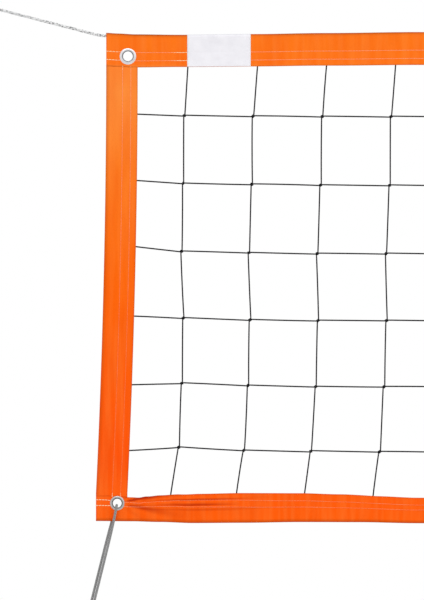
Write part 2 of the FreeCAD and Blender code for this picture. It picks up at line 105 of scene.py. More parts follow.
# ---- how the tape hangs, as distance from the end of the band and a size, both in millimetres ----
# EDGE is how far a fold is from level, GAIN how much taller the band is, SEAMS the fold to each row.
TOP_EDGE = ((0, 1.6), (25, 0.2), (60, -1.5), (150, -2.4), (300, -0.9), (450, 1.2), (640, 3.2), (900, 2.8),
            (1900, 0), (4300, 0))
TOP_GAIN = ((0, 1.6), (60, 1.4), (150, -0.4), (300, 0), (640, 1), (1400, 0), (4300, 0))
FOOT_EDGE = ((0, 1.6), (75, 1.0), (130, -0.4), (200, -2.6), (300, -2), (420, -0.5), (540, -0.8), (660, -3),
             (900, -1), (1600, 0), (4300, 0))
FOOT_GAIN = ((0, -7.4), (20, -7), (45, -8.5), (66, -10), (87, -10.6), (104, -7.6), (132, -4.6), (173, -1.2),
             (214, 0.6), (300, 1.6), (418, -0.2), (500, -2.2), (582, -5.4), (664, -7), (1000, -3), (2000, 0),
             (4300, 0))
FOOT_SEAMS = (((0, 35), (100, 33.5), (400, 30.5), (650, 29), (1600, 31), (4300, 31)),
              ((0, 49.5), (60, 46.5), (90, 45), (200, 46), (400, 43.5), (650, 41.5), (1600, 47), (4300, 47)))
TOP_SEAMS = (((0, 36.2), (4300, 36)), ((0, 52.8), (4300, 53)))
SIDE_SEAMS = (0.033, 0.050)   # fold to each row

# ---- mesh ----
CORD = 0.0033                 # the mesh cord's diameter
COLUMNS = 59
ROWS = 6
FIRST_COLUMN = 0.156
COLUMN_PITCH = 2 * (HALF_LENGTH - FIRST_COLUMN) / (COLUMNS - 1)
FIRST_ROW = 0.171             # top fold to the first whole cord
LAST_ROW = 0.148              # bottom fold to the last whole cord
TOP_BORDER = 0.042            # each fold to the border cord that the tape is sewn round
FOOT_BORDER = 0.038
SIDE_BORDER = 0.040
KNOT_WRAP = 0.0027            # radius of a mesh knot's wraps, and of the cord in them
KNOT_CORD = 0.0013
KNOT_TURN = 0.35              # and how far, in radians, a knot is turned at random
KNOT_HALF = 0.0018            # half the length of a knot along its cord
BORDER_STEPS = (600, 120)     # steps along a border cord: top and bottom, and the sides
KNOT_STEP = 0.0019            # a cord leaves its knot this far to one side of where it came in
COLUMN_LEAN = (17, 4, 1, -8, -7, -13, -24, -40)   # millimetres inwards: top band, the rows, bottom band
END_LEAN = (-4, 0, 0, 6, 9, 12, 17, 13)           # how far the last column stays back from that
ROW_DROP = (-1, 4, 9, 10, 9, 6)                   # millimetres that each row hangs below an even spacing
SIDE_RISE = (7, 8, 10, 2, -4, -3)                 # how far each row's first cell climbs to the side band
FIRST_RISE = (2, 5, 7, 7, 9, 11)                  # and how high its first knot is

# ---- stitches ----
STITCH_PITCH = 0.0058
STITCH = 0.0052               # length of one stitch
THREAD = 0.0013               # diameter
SIDE_SEAM_STEPS = 160         # steps along a side band's seam

# ---- label patch ----
LABEL_LOW, LABEL_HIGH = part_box("label_patch")
LABEL_THICKNESS = 0.0003

# ---- top rope, beyond the band's end ----
ROPE = 0.006
ROPE_LEVELS_OUT = 0.06        # the last stretch in the tunnel, which comes back level
ROPE_RISE = math.radians(14.5)
ROPE_FIRST_RUN = 0.012
ROPE_ROUTE = ((0.012, 0), (0.237, 0), (0.269, 0), (0.3136, 0.0118), (0.3242, -0.0034), (0.3136, -0.0185),
              (0.269, -0.0067), (0.243, -0.0067))

# ---- tie cord: reach from the eyelet, standoff from the net's plane, spread to one side ----
TIE_LEAN = math.radians(14)
TIE_ROUTE = ((0.0045, 0, 0), (0.0045, 0.0086, 0), (0.052, 0.0072, 0.0027), (0.160, 0.0032, 0.0028),
             (0.262, 0, 0.0029))
KNOT_START = 0.262
KNOT_TURNS = 3
KNOT_STEPS = 16               # points a turn
KNOT_LENGTH = 0.0165
KNOT_WIDE = 0.0068
KNOT_THIN = 0.0050
TAIL_ROUTE = ((0.012, 0.0026), (0.022, 0.003), (0.034, 0.0062), (0.050, 0.0102))  # reach and spread

# ---- view ----
VIEW_HEIGHT = 1.2288
VIEW_RIGHT = 0.2167           # end of the top band to the middle of the view
VIEW_DISTANCE = 3.0           # camera to the net's plane
VIEW_DOWN = 0.5456            # top fold to the middle of the view
NET_TOP_ABOVE_COURT = 2.43
FLOOR = 40.0                  # half the floor's side
LAMPS = (("key", (-1.0, -2.2, 2.4), -0.2, (11, 0.8), 60),       # place, height it aims at, size, watts
         ("back", (0, 3.0, 2.0), -0.5, (10, 1.0), 22))

ENDS = (("left", -1), ("right", 1))


# ---- small helpers ----
def between(table, place):
    """Smooth steps through pairs of a distance and a size, both in millimetres; metres in and out."""
    here = place * 1000
    for (a, low), (b, high) in zip(table[:-1], table[1:]):
        if here <= b:
            part = min(max((here - a) / (b - a), 0), 1)
            return (low + (high - low) * part * part * (3 - 2 * part)) / 1000
    return table[-1][1] / 1000


def bump_at(place, centre, width):
    """1 at the centre, fading to nothing over the width."""
    return math.exp(-((place - centre) / width) ** 2)


def wander(x, y, seed):
    """A soft random value, about -1 to 1, that repeats every run."""
    return noise.noise(Vector((x, y, seed)))


def new_object(name, data):
    piece = bpy.data.objects.new(name, data)
    bpy.context.collection.objects.link(piece)
    return piece


def grid_mesh(name, rows):
    """A sheet through rows of points."""
    verts = [point for row in rows for point in row]
    width = len(rows[0])
    faces = []
    for i in range(len(rows) - 1):
        for j in range(width - 1):
            a = i * width + j
            faces.append((a, a + 1, a + width + 1, a + width))
    mesh = bpy.data.meshes.new(name)
    mesh.from_pydata(verts, [], faces)
    mesh.shade_smooth()
    return mesh


def evaluated(piece):
    """A new mesh of what a piece shows."""
    graph = bpy.context.evaluated_depsgraph_get()
    return bpy.data.meshes.new_from_object(piece.evaluated_get(graph), depsgraph=graph)


def settle(piece):
    """Turns a piece with its modifiers into a plain mesh."""
    mesh = evaluated(piece)
    mesh.name = piece.name
    plain = new_object(piece.name + "_plain", mesh)
    name = piece.name
    bpy.data.objects.remove(piece)
    plain.name = name
    return plain


# ---- materials ----
def new_material(name, colour, rough, metal=0.0):
    material = bpy.data.materials.new(name)
    material.use_nodes = True
    shader = material.node_tree.nodes["Principled BSDF"]
    fill(shader, Base_Color=(*colour, 1), Roughness=rough, Metallic=metal)
    material.diffuse_color = (*colour, 1)
    return material, material.node_tree, shader


def feed(tree, socket, value):
    """Links a socket to another, or sets it to a plain value."""
    if isinstance(value, bpy.types.NodeSocket):
        tree.links.new(value, socket)
    else:
        socket.default_value = value


def fill(node, **values):
    """Sets a node's settings, and its inputs by name, to plain values or other sockets."""
    for key, value in values.items():
        if hasattr(node, key):
            setattr(node, key, value)
        else:
            feed(node.id_data, node.inputs[key.replace("_", " ")], value)
    return node


def add(tree, kind, **values):
    return fill(tree.nodes.new(kind), **values)


def noise_of(tree, scale, detail=2.0, stretch=(1, 1, 1)):
    """Noise on the object's own coordinates, stretched by a scale on each axis."""
    place = add(tree, "ShaderNodeTexCoord")
    turn = add(tree, "ShaderNodeMapping", Scale=stretch, Vector=place.outputs["Object"])
    source = add(tree, "ShaderNodeTexNoise", Scale=scale, Detail=detail, Vector=turn.outputs["Vector"])
    return source.outputs["Fac"]


def maths(tree, operation, a, b=0.0):
    """One sum on sockets or numbers."""
    node = add(tree, "ShaderNodeMath", operation=operation)
    feed(tree, node.inputs[0], a)
    feed(tree, node.inputs[1], b)
    return node.outputs[0]


def weave_of(tree, pitch):
    """A woven grid of the given pitch on the X and Z axes."""
    place = add(tree, "ShaderNodeTexCoord")
    heights = []
    for direction in ("X", "Z"):
        wave = add(tree, "ShaderNodeTexWave", wave_type="BANDS", bands_direction=direction,
                   Scale=0.314 / pitch, Vector=place.outputs["Object"])
        heights.append(wave.outputs["Fac"])
    return maths(tree, "MULTIPLY", *heights)


def ramp_of(tree, value, stops):
    ramp = add(tree, "ShaderNodeValToRGB", Fac=value)
    elements = ramp.color_ramp.elements
    while len(elements) < len(stops):
        elements.new(0.5)
    for element, (place, colour) in zip(elements, stops):
        element.position = place
        element.color = (*colour, 1)
    return ramp.outputs["Color"]


def mixed(tree, factor, low, high, how="MIX"):
    """Mixes two colours; each is a socket or a colour."""
    node = add(tree, "ShaderNodeMix", data_type="RGBA", blend_type=how)
    feed(tree, node.inputs[0], factor)
    for index, value in ((6, low), (7, high)):
        feed(tree, node.inputs[index], (*value, 1) if isinstance(value, tuple) else value)
    return node.outputs[2]


def bumps(tree, shader, layers):
    """Adds bump layers: height socket, strength and depth in metres."""
    last = None
    for height, strength, depth in layers:
        node = add(tree, "ShaderNodeBump", Strength=strength, Distance=depth, Height=height)
        if last:
            fill(node, Normal=last)
        last = node.outputs["Normal"]
    fill(shader, Normal=last)


def spread_of(tree, value, low, high, start=0.0, stop=1.0):
    """Low to high as the value goes from start to stop."""
    node = add(tree, "ShaderNodeMapRange", Value=value, From_Min=start, From_Max=stop,
               To_Min=low, To_Max=high)
    return node.outputs["Result"]


def attribute_of(tree, name):
    node = add(tree, "ShaderNodeAttribute", attribute_name=name)
    return node.outputs["Fac"]


def place_of(tree):
    """The object's own X, Y and Z, as sockets."""
    place = add(tree, "ShaderNodeTexCoord")
    return add(tree, "ShaderNodeSeparateXYZ", Vector=place.outputs["Object"]).outputs


def tarpaulin():
    """Coated polyester tape: an orange skin over a fine scrim, with painted light that makes it paler towards
    the top, and painted shade along folds, free edges and creases.
    """
    material, tree, shader = new_material("tarpaulin", (0.87, 0.13, 0.006), 0.42)
    height = spread_of(tree, place_of(tree)["Z"], 0.0, 1.0, BOTTOM, TOP)
    # painted light: paler towards the top and on the upper part of the side bands, as if lit from above, and
    # deeper orange low down
    painted_light_by_height = ramp_of(tree, height, (
        (0.0, (0.97, 0.108, 0.001)), (0.06, (0.97, 0.102, 0.001)), (0.12, (0.95, 0.080, 0.0005)),
        (0.5, (0.92, 0.130, 0.001)), (0.72, (0.91, 0.190, 0.012)), (0.88, (0.91, 0.270, 0.042)),
        (0.932, (0.915, 0.245, 0.034)), (0.938, (0.915, 0.170, 0.007)), (1.0, (0.915, 0.176, 0.008))))
    blotches = noise_of(tree, 14, 3, (1.6, 1, 0.45))
    skin = mixed(tree, spread_of(tree, blotches, -0.35, 0.75), painted_light_by_height, (0.80, 0.085, 0.003))
    streaks = noise_of(tree, 90, 2, (1, 1, 0.07))
    skin = mixed(tree, spread_of(tree, streaks, -0.25, 0.4), skin, (0.95, 0.26, 0.045))
    # painted shade in the bottom band's creases
    skin = mixed(tree, attribute_of(tree, "crease_shade"), skin, (0.46, 0.022, 0.001))
    # painted shade along folds and free edges
    skin = mixed(tree, attribute_of(tree, "fold_and_edge_shade"), skin, (0.22, 0.035, 0.003))
    gloss = spread_of(tree, noise_of(tree, 60, 2), 0.3, 0.46)
    fill(shader, Base_Color=skin, Roughness=gloss, Specular_IOR_Level=0.04)
    bumps(tree, shader, ((weave_of(tree, 0.0011), 0.25, 0.0001), (noise_of(tree, 110, 3), 0.5, 0.0008)))
    return material


def thread():
    """Twisted sewing thread: cream where it is new and standing proud, orange where it has sunk in."""
    material, tree, shader = new_material("stitching", (0.9, 0.55, 0.28), 0.6)
    twist = noise_of(tree, 1500, 1)
    sunk = ramp_of(tree, twist, ((0.3, (0.90, 0.12, 0.008)), (0.7, (0.98, 0.20, 0.04))))
    fresh = ramp_of(tree, twist, ((0.3, (0.88, 0.66, 0.36)), (0.7, (1.0, 0.86, 0.58))))
    fill(shader, Base_Color=mixed(tree, attribute_of(tree, "fresh"), sunk, fresh))
    bumps(tree, shader, ((twist, 0.5, 0.0002),))
    return material


def net_cord():
    """Black braided polyethylene cord."""
    material, tree, shader = new_material("mesh_cord", (0.006, 0.006, 0.007), 0.5)
    twist = noise_of(tree, 700, 2)
    tone = ramp_of(tree, twist, ((0.35, (0.002, 0.002, 0.003)), (0.75, (0.016, 0.016, 0.018))))
    fill(shader, Base_Color=tone, Specular_IOR_Level=0.12)
    bumps(tree, shader, ((twist, 0.6, 0.0004),))
    return material


def label_cloth():
    """Plain white woven patch."""
    material, tree, shader = new_material("label", (0.80, 0.79, 0.83), 0.62)
    soft = noise_of(tree, 40, 3)
    tone = ramp_of(tree, soft, ((0.3, (0.755, 0.745, 0.79)), (0.7, (0.82, 0.81, 0.85))))
    # painted shade along the label's fold
    tone = mixed(tree, attribute_of(tree, "fold_and_edge_shade"), tone, (0.42, 0.43, 0.47))
    fill(shader, Base_Color=tone, Sheen_Weight=0.2)
    bumps(tree, shader, ((weave_of(tree, 0.0008), 0.4, 0.00012), (soft, 0.3, 0.0006)))
    return material


def wire():
    """Galvanised wire: dull grey-white zinc with dark grime between the wires."""
    material, tree, shader = new_material("wire_rope", (0.75, 0.75, 0.75), 0.4, 0.7)
    grime_and_shade = noise_of(tree, 330, 3)
    tone = ramp_of(tree, grime_and_shade, (
        (0.38, (0.16, 0.16, 0.165)), (0.47, (0.66, 0.665, 0.67)), (0.7, (0.88, 0.88, 0.88))))
    fill(shader, Base_Color=tone, Roughness=spread_of(tree, grime_and_shade, 0.55, 0.3))
    bumps(tree, shader, ((noise_of(tree, 2600, 1), 0.5, 0.0002),))
    return material


def plated(name, colour, rough, spots):
    """Plated metal with fine handling marks and a slight change of tone."""
    material, tree, shader = new_material(name, colour, rough, 1.0)
    marks = noise_of(tree, spots, 4)
    dark = tuple(value * 0.82 for value in colour)
    fill(shader, Base_Color=ramp_of(tree, marks, ((0.3, dark), (0.65, colour))),
         Roughness=spread_of(tree, marks, rough * 0.7, rough * 1.4))
    bumps(tree, shader, ((noise_of(tree, spots * 3, 3), 0.12, 0.0002),))
    return material


def eyelet_nickel(level, centre, bore, tone):
    """Nickel that is bright on the rim, with a painted dark ring of shade and reflection where it rolls into
    the bore.
    """
    material = plated(f"nickel_{level}", tone, 0.16, 160)
    tree = material.node_tree
    shader = tree.nodes["Principled BSDF"]
    bright = shader.inputs["Base Color"].links[0].from_socket
    place = place_of(tree)
    spans = []
    for axis, middle in (("X", centre.x), ("Z", centre.z)):
        off = maths(tree, "SUBTRACT", maths(tree, "ABSOLUTE", place[axis]), abs(middle))
        spans.append(maths(tree, "MULTIPLY", off, off))
    radius = maths(tree, "SQRT", maths(tree, "ADD", *spans))
    # painted shade and dark reflection: a dark ring round the bore
    share = spread_of(tree, radius, 0.0, 1.0, bore + 0.0006, bore + DARK_RING_REACH)
    grime_and_shade = ramp_of(tree, share, ((0.0, (0.10, 0.105, 0.12)), (1.0, (1.0, 1.0, 1.0))))
    fill(shader, Base_Color=mixed(tree, 1.0, bright, grime_and_shade, "MULTIPLY"))
    return material


def braid_cloth():
    """Grey polyester braid, with lighter crowns and a few pale fibres."""
    material, tree, shader = new_material("tie_cord", (0.26, 0.26, 0.26), 0.65)
    fibres = noise_of(tree, 1300, 2)
    tone = ramp_of(tree, fibres, (
        (0.3, (0.17, 0.17, 0.175)), (0.55, (0.29, 0.29, 0.29)), (0.8, (0.45, 0.45, 0.44))))
    fill(shader, Base_Color=tone, Sheen_Weight=0.25, Sheen_Roughness=0.5)
    bumps(tree, shader, ((fibres, 0.6, 0.0003),))
    return material


def floor_cloth():
    material, tree, shader = new_material("floor", (0.86, 0.86, 0.85), 0.8)
    tone = ramp_of(tree, noise_of(tree, 1.2, 3), ((0.3, (0.84, 0.84, 0.83)), (0.7, (0.88, 0.88, 0.875))))
    fill(shader, Base_Color=tone)
    return material


TARPAULIN = tarpaulin()
THREAD_CLOTH = thread()
NET_CORD = net_cord()
LABEL_CLOTH = label_cloth()
WIRE = wire()
ALUMINIUM = plated("ferrule", (0.78, 0.78, 0.79), 0.36, 300)
ZINC = plated("zinc_steel", (0.70, 0.715, 0.74), 0.27, 220)
NICKEL = {"top": eyelet_nickel("top", TOP_EYELET, TOP_BORE, (0.82, 0.81, 0.83)),
          "bottom": eyelet_nickel("bottom", FOOT_EYELET, FOOT_BORE, (0.52, 0.50, 0.49))}
BRAID = braid_cloth()


# ---- node trees ----
class Tree:
    """A Geometry Nodes tree with named inputs, put together one node at a time."""

    def __init__(self, name, inputs):
        self.tree = bpy.data.node_groups.new(name, "GeometryNodeTree")
        face = self.tree.interface
        face.new_socket("Geometry", in_out="INPUT", socket_type="NodeSocketGeometry")
        for label, kind in inputs.items():
            face.new_socket(label, in_out="INPUT", socket_type="NodeSocket" + kind)
        face.new_socket("Geometry", in_out="OUTPUT", socket_type="NodeSocketGeometry")
        self.given = self.tree.nodes.new("NodeGroupInput")
        self.result = self.tree.nodes.new("NodeGroupOutput")

    def input(self, label):
        return self.given.outputs[label]

    def node(self, kind, settings=(), **links):
        """A node; links name its inputs, and hold a socket or a value."""
        made = self.tree.nodes.new(kind)
        for key, value in dict(settings).items():
            setattr(made, key, value)
        for key, value in links.items():
            index = int(key[1:]) if key[0] == "i" and key[1:].isdigit() else key.replace("_", " ")
            feed(self.tree, made.inputs[index], value)
        return made.outputs

    def math(self, operation, a, b=0.0):
        return self.node("ShaderNodeMath", {"operation": operation}, i0=a, i1=b)[0]

    def ring(self, sides, radius):
        return self.node("GeometryNodeCurvePrimitiveCircle", Resolution=sides, Radius=radius)["Curve"]

    def tube(self, line, profile, caps=False):
        return self.node("GeometryNodeCurveToMesh", Curve=line, Profile_Curve=profile, Fill_Caps=caps)[0]

    def joined(self, *pieces):
        whole = self.node("GeometryNodeJoinGeometry")[0]
        for piece in pieces:
            self.tree.links.new(piece, whole.node.inputs[0])
        return whole

    def end(self, geometry, material):
        real = self.node("GeometryNodeRealizeInstances", Geometry=geometry)[0]
        smooth = self.node("GeometryNodeSetShadeSmooth", Geometry=real)[0]
        done = self.node("GeometryNodeSetMaterial", Geometry=smooth, Material=material)[0]
        self.tree.links.new(done, self.result.inputs[0])
        return self.tree


def strand_tree():
    """Strands laid round a line.  Weave lifts them over and under those laid the other way."""
    t = Tree("laid strands", {
        "Strands": "Int", "Turn length": "Float", "Lay radius": "Float", "Weave": "Float",
        "Strand radius": "Float", "Sides": "Int", "Step": "Float", "Finish": "Material"})
    line = t.node("GeometryNodeResampleCurve", {"mode": "LENGTH"}, Curve=t.input("Geometry"),
                  Length=t.input("Step"))[0]
    copies = t.node("GeometryNodeDuplicateElements", {"domain": "SPLINE"}, Geometry=line,
                    Amount=t.input("Strands"))
    length = t.node("GeometryNodeSplineParameter")["Length"]
    turns = t.math("DIVIDE", length, t.input("Turn length"))
    share = t.math("DIVIDE", copies["Duplicate Index"], t.input("Strands"))
    angle = t.math("MULTIPLY", t.math("ADD", turns, share), 2 * math.pi)
    lift = t.math("COSINE", t.math("MULTIPLY", t.math("MULTIPLY", turns, t.input("Strands")), 2 * math.pi))
    radius = t.math("ADD", t.input("Lay radius"), t.math("MULTIPLY", lift, t.input("Weave")))
    normal = t.node("GeometryNodeInputNormal")[0]
    tangent = t.node("GeometryNodeInputTangent")[0]
    side = t.node("ShaderNodeVectorMath", {"operation": "CROSS_PRODUCT"}, i0=tangent, i1=normal)[0]
    reach = t.math("MULTIPLY", radius, t.math("COSINE", angle))
    swing = t.math("MULTIPLY", radius, t.math("SINE", angle))
    out = t.node("ShaderNodeVectorMath", {"operation": "SCALE"}, i0=normal, Scale=reach)[0]
    over = t.node("ShaderNodeVectorMath", {"operation": "SCALE"}, i0=side, Scale=swing)[0]
    offset = t.node("ShaderNodeVectorMath", {"operation": "ADD"}, i0=out, i1=over)[0]
    laid = t.node("GeometryNodeSetPosition", Geometry=copies["Geometry"], Offset=offset)[0]
    tube = t.tube(laid, t.ring(t.input("Sides"), t.input("Strand radius")), True)
    return t.end(tube, t.input("Finish"))


def net_tree():
    """Round cords along a mesh's edges, with a knot of two wraps at each marked point."""
    t = Tree("knotted net", {
        "Cord radius": "Float", "Wrap radius": "Float", "Wrap cord": "Float", "Tilt": "Float",
        "Seed": "Int", "Finish": "Material"})
    line = t.node("GeometryNodeMeshToCurve", Mesh=t.input("Geometry"))[0]
    cords = t.tube(line, t.ring(6, t.input("Cord radius")), True)
    marked = t.node("GeometryNodeInputNamedAttribute", {"data_type": "FLOAT"}, Name="knot")[0]
    points = t.node("GeometryNodeMeshToPoints", Mesh=t.input("Geometry"), Selection=marked)[0]
    wrap = t.tube(t.ring(8, t.input("Wrap radius")), t.ring(5, t.input("Wrap cord")))
    turned = []
    for x, y, z in ((t.input("Tilt"), 0.3, 0.0), (0.25, math.pi / 2, t.input("Tilt"))):
        turn = t.node("ShaderNodeCombineXYZ", X=x, Y=y, Z=z)[0]
        turned.append(t.node("GeometryNodeTransform", Geometry=wrap, Rotation=turn)[0])
    spin = t.node("FunctionNodeRandomValue", {"data_type": "FLOAT_VECTOR"}, Seed=t.input("Seed"))
    spin[0].node.inputs[0].default_value = (-KNOT_TURN,) * 3
    spin[0].node.inputs[1].default_value = (KNOT_TURN,) * 3
    knots = t.node("GeometryNodeInstanceOnPoints", Points=points, Instance=t.joined(*turned),
                   Rotation=spin[0])[0]
    return t.end(t.joined(cords, knots), t.input("Finish"))


def stitch_tree():
    """Lockstitches along a seam line: each is a short bowed thread that dips into the tape at its ends."""
    t = Tree("stitches", {
        "Pitch": "Float", "Stitch": "Float", "Thread radius": "Float", "Out": "Float", "Finish": "Material"})
    line = t.node("GeometryNodeResampleCurve", {"mode": "LENGTH"}, Curve=t.input("Geometry"),
                  Length=t.input("Pitch"))[0]
    half = t.math("MULTIPLY", t.input("Stitch"), 0.5)
    depth = t.math("MULTIPLY", t.input("Out"), t.input("Thread radius"))
    sunk = t.math("MULTIPLY", depth, -0.7)
    start = t.node("ShaderNodeCombineXYZ", X=t.math("MULTIPLY", half, -1), Y=sunk)[0]
    end = t.node("ShaderNodeCombineXYZ", X=half, Y=sunk)[0]
    crown = t.node("ShaderNodeCombineXYZ", Y=t.math("MULTIPLY", depth, 1.4))[0]
    bow = t.node("GeometryNodeCurveQuadraticBezier", Resolution=3, Start=start, Middle=crown, End=end)[0]
    stitch = t.tube(bow, t.ring(5, t.input("Thread radius")))
    tangent = t.node("GeometryNodeInputTangent")[0]
    turn = t.node("FunctionNodeAlignRotationToVector", {"axis": "X", "pivot_axis": "Y"}, Vector=tangent)[0]
    placed = t.node("GeometryNodeInstanceOnPoints", Points=line, Instance=stitch, Rotation=turn)[0]
    return t.end(placed, t.input("Finish"))


STRANDS = strand_tree()
KNOTTED = net_tree()
STITCHES = stitch_tree()


def apply_tree(piece, tree, values):
    """Runs a tree on a piece with named input values and leaves a plain mesh."""
    modifier = piece.modifiers.new(tree.name, "NODES")
    modifier.node_group = tree
    for item in tree.interface.items_tree:
        if item.in_out == "INPUT" and item.name in values:
            modifier[item.identifier] = values[item.name]
    return settle(piece)


def join(name, parts):
    """One object from several."""
    with bpy.context.temp_override(active_object=parts[0], selected_editable_objects=parts):
        bpy.ops.object.join()
    parts[0].name = name
    parts[0].data.name = name
    return parts[0]


# ---- camera, before anything is placed ----
def make_camera():
    camera = bpy.data.cameras.new("camera")
    camera.type = "ORTHO"
    camera.ortho_scale = VIEW_HEIGHT
    holder = new_object("camera", camera)
    holder.location = (-HALF_LENGTH + VIEW_RIGHT, -VIEW_DISTANCE, TOP - VIEW_DOWN)
    holder.rotation_euler = (math.radians(90), 0, 0)
    bpy.context.scene.camera = holder


# ---- cords ----
def smooth_path(points):
    """The points along a smooth open line that has these points to steer it."""
    line = poly_line("route", [points], "NURBS")
    spline = line.data.splines[0]
    spline.resolution_u = 24
    spline.order_u = 3
    spline.use_endpoint_u = True
    mesh = evaluated(line)
    made = [vertex.co.copy() for vertex in mesh.vertices]
    bpy.data.meshes.remove(mesh)
    bpy.data.objects.remove(line)
    return made


def length_of(path):
    return sum((b - a).length for a, b in zip(path[:-1], path[1:]))


def poly_line(name, lines, kind="POLY"):
    """A curve object with one spline for each line of points."""
    curve = bpy.data.curves.new(name, "CURVE")
    curve.dimensions = "3D"
    for points in lines:
        spline = curve.splines.new(kind)
        spline.points.add(len(points) - 1)
        for place, point in zip(spline.points, points):
            place.co = (*point, 1)
    return new_object(name, curve)


def twisted(name, lines, layers):
    """A cord built of layers of strands along one or more lines."""
    parts = []
    for number, values in enumerate(layers):
        parts.append(apply_tree(poly_line(f"{name}_{number}", lines), STRANDS, values))
    return join(name, parts)


def core_layer(radius, sides, step, finish):
    """One straight strand."""
    return {"Strands": 1, "Turn length": 1.0, "Lay radius": 0.0, "Weave": 0.0, "Strand radius": radius,
            "Sides": sides, "Step": step, "Finish": finish}


def rope_layers():
    """Six strands of wire laid round a core."""
    core = core_layer(0.0013, 8, 0.004, WIRE)
    strands = dict(core, **{"Strands": 6, "Turn length": 0.036, "Lay radius": 0.00198,
                            "Strand radius": 0.00105, "Step": 0.0018})
    return core, strands


def braid_layers():
    """Eight strands each way, over and under, on a core."""
    core = core_layer(0.00195, 10, 0.003, BRAID)
    right = dict(core, **{"Strands": 8, "Turn length": 0.023, "Lay radius": 0.0020, "Weave": 0.00026,
                          "Strand radius": 0.00058, "Sides": 5, "Step": 0.00096})
    left = dict(right, **{"Turn length": -0.023, "Weave": -0.00026})
    return core, right, left


def rope_point(side, reach, across=0.0):
    """A point on the rope beyond the band: reach from the bend, across it in the net's plane."""
    x = HALF_LENGTH + ROPE_FIRST_RUN + reach * math.cos(ROPE_RISE) - across * math.sin(ROPE_RISE)
    z = reach * math.sin(ROPE_RISE) + across * math.cos(ROPE_RISE)
    return Vector((side * x, 0, z))


def make_rope(end, side):
    points = [Vector((side * HALF_LENGTH, 0, 0)), rope_point(side, 0)]
    points += [rope_point(side, reach, across) for reach, across in ROPE_ROUTE]
    path = smooth_path(points)
    rope = twisted(end + "_rope", [path], rope_layers())
    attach(rope, "rope")
    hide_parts(end + "_rope_run", end + "_rope_eye")
    length = length_of(path)
    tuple(points[0])


def tie_point(side, reach, standoff=0.0, spread=0.0):
    """A point on a tie: reach from the eyelet along the tie, standoff in Y, spread across it."""
    x = FOOT_EYELET.x + reach * math.sin(TIE_LEAN) + spread * math.cos(TIE_LEAN)
    z = FOOT_EYELET.z - reach * math.cos(TIE_LEAN) + spread * math.sin(TIE_LEAN)
    return Vector((side * x, standoff, z))


def make_tie(end, side):
    """The doubled tie cord: its two strands, and the knot with two tails that holds them."""
    knot = make_tie_knot(end, side)
    for name, way in (("front", -1), ("back", 1)):
        points = [tie_point(side, reach, way * standoff, way * spread)
                  for reach, standoff, spread in TIE_ROUTE]
        path = smooth_path(points)
        strand = twisted(f"{end}_tie_{name}_cord", [path], braid_layers())
        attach(strand, end + "_tie")
        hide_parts(f"{end}_tie_{name}")
        length = length_of(path)
        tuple(points[0])


def make_tie_knot(end, side):
    """A barrel knot: one cord wound three times round both, and two tails out of its far end."""
    wound = []
    steps = KNOT_TURNS * KNOT_STEPS
    for i in range(steps + 1):
        angle = 2 * math.pi * i / KNOT_STEPS
        reach = KNOT_START + 0.002 + KNOT_LENGTH * i / steps
        near = min(i, steps - i) / 6
        pull = min(1.0, 0.25 + near)
        spread = KNOT_WIDE * math.cos(angle) * pull
        wound.append(tie_point(side, reach, -KNOT_THIN * math.sin(angle) * pull, spread))
    lines = [wound]
    for way in (-1, 1):
        tail = [tie_point(side, KNOT_START + reach, 0.001 * way, way * spread)
                for reach, spread in TAIL_ROUTE]
        lines.append(smooth_path(tail))
    middle = [tie_point(side, KNOT_START + reach, 0, 0) for reach in (-0.001, 0.01, 0.021)]
    lines.append(middle)
    knot = twisted(end + "_knot", lines, braid_layers())
    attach(knot, end + "_tie")
    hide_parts(end + "_tie_knot")
    return knot


# ---- tape ----
def stations(half, eyelet_x):
    """Places along a band: close together at its ends, closest at the eyelets, and wide apart between."""
    inset = half - eyelet_x
    places = []
    here = 0.0
    while here < half:
        places.append(here)
        if abs(here - inset) < EYELET_ZONE:
            here += EYELET_STEP
        else:
            here += next(step for reach, step in STEPS_ALONG if here < reach)
    left = [-half + place for place in places]
    return left + [0.0] + [-x for x in reversed(left)]


def depths(height, fold, seams):
    """Places down one leaf from the fold to the free edge, as shares of the height."""
    rows = [fold * (1 - math.cos(math.radians(a))) for a in (0, 18, 36, 54, 72, 90)]
    flat = list(LEAF_ROWS)
    for seam in seams:
        flat += [seam - 0.0018, seam - 0.0007, seam + 0.0007, seam + 0.0018]
    flat += [(seams[0] + seams[1]) / 2 - 0.003, (seams[0] + seams[1]) / 2 + 0.003]
    flat += [seams[1] + 0.0055, height - 0.0035, height - 0.0012, height]
    rows += [depth for depth in sorted(flat) if fold * 1.4 < depth <= height]
    return rows


def fold_leaf(depth, fold, flat_at, grow):
    """Half-thickness and drop at a depth below a fold; grow moves the skin outwards."""
    if depth < fold:
        angle = math.acos(1 - depth / fold)
        return (fold + grow) * math.sin(angle), fold - (fold + grow) * math.cos(angle)
    share = min((depth - fold) / max(flat_at - fold, 0.001), 1.0)
    return fold + (FLAT_HALF - fold) * share + grow, depth


def seam_pinch(depth, seams):
    return -SEAM_PINCH * sum(bump_at(depth, seam, 0.0013) for seam in seams)


def radial_creases(dx, dz, reach):
    """Pull creases that run from an eyelet towards the middle of the net."""
    distance = math.hypot(dx, dz)
    if distance < 0.001 or dx > 0.004:
        return 0.0
    angle = math.atan2(dz, -dx)
    strength = bump_at(distance, PULL_PEAK, reach) * min(1.0, max(0.0, (distance - PULL_START) / PULL_RISE))
    facing = bump_at(angle, *PULL_WAY)
    return strength * facing * math.cos(angle * PULL_COUNT + 0.7 * wander(distance * 30, angle, 3))


def mesh_puckers(x, depth, first):
    """Small vertical gathers in the seam allowance where the mesh cords are caught."""
    phase = (HALF_LENGTH - abs(x) - FIRST_COLUMN) / COLUMN_PITCH
    off = (phase - round(phase)) * COLUMN_PITCH
    if phase < -0.3:
        return 0.0
    return PUCKER * bump_at(off, 0, 0.004) * bump_at(depth, first + 0.008, 0.012)


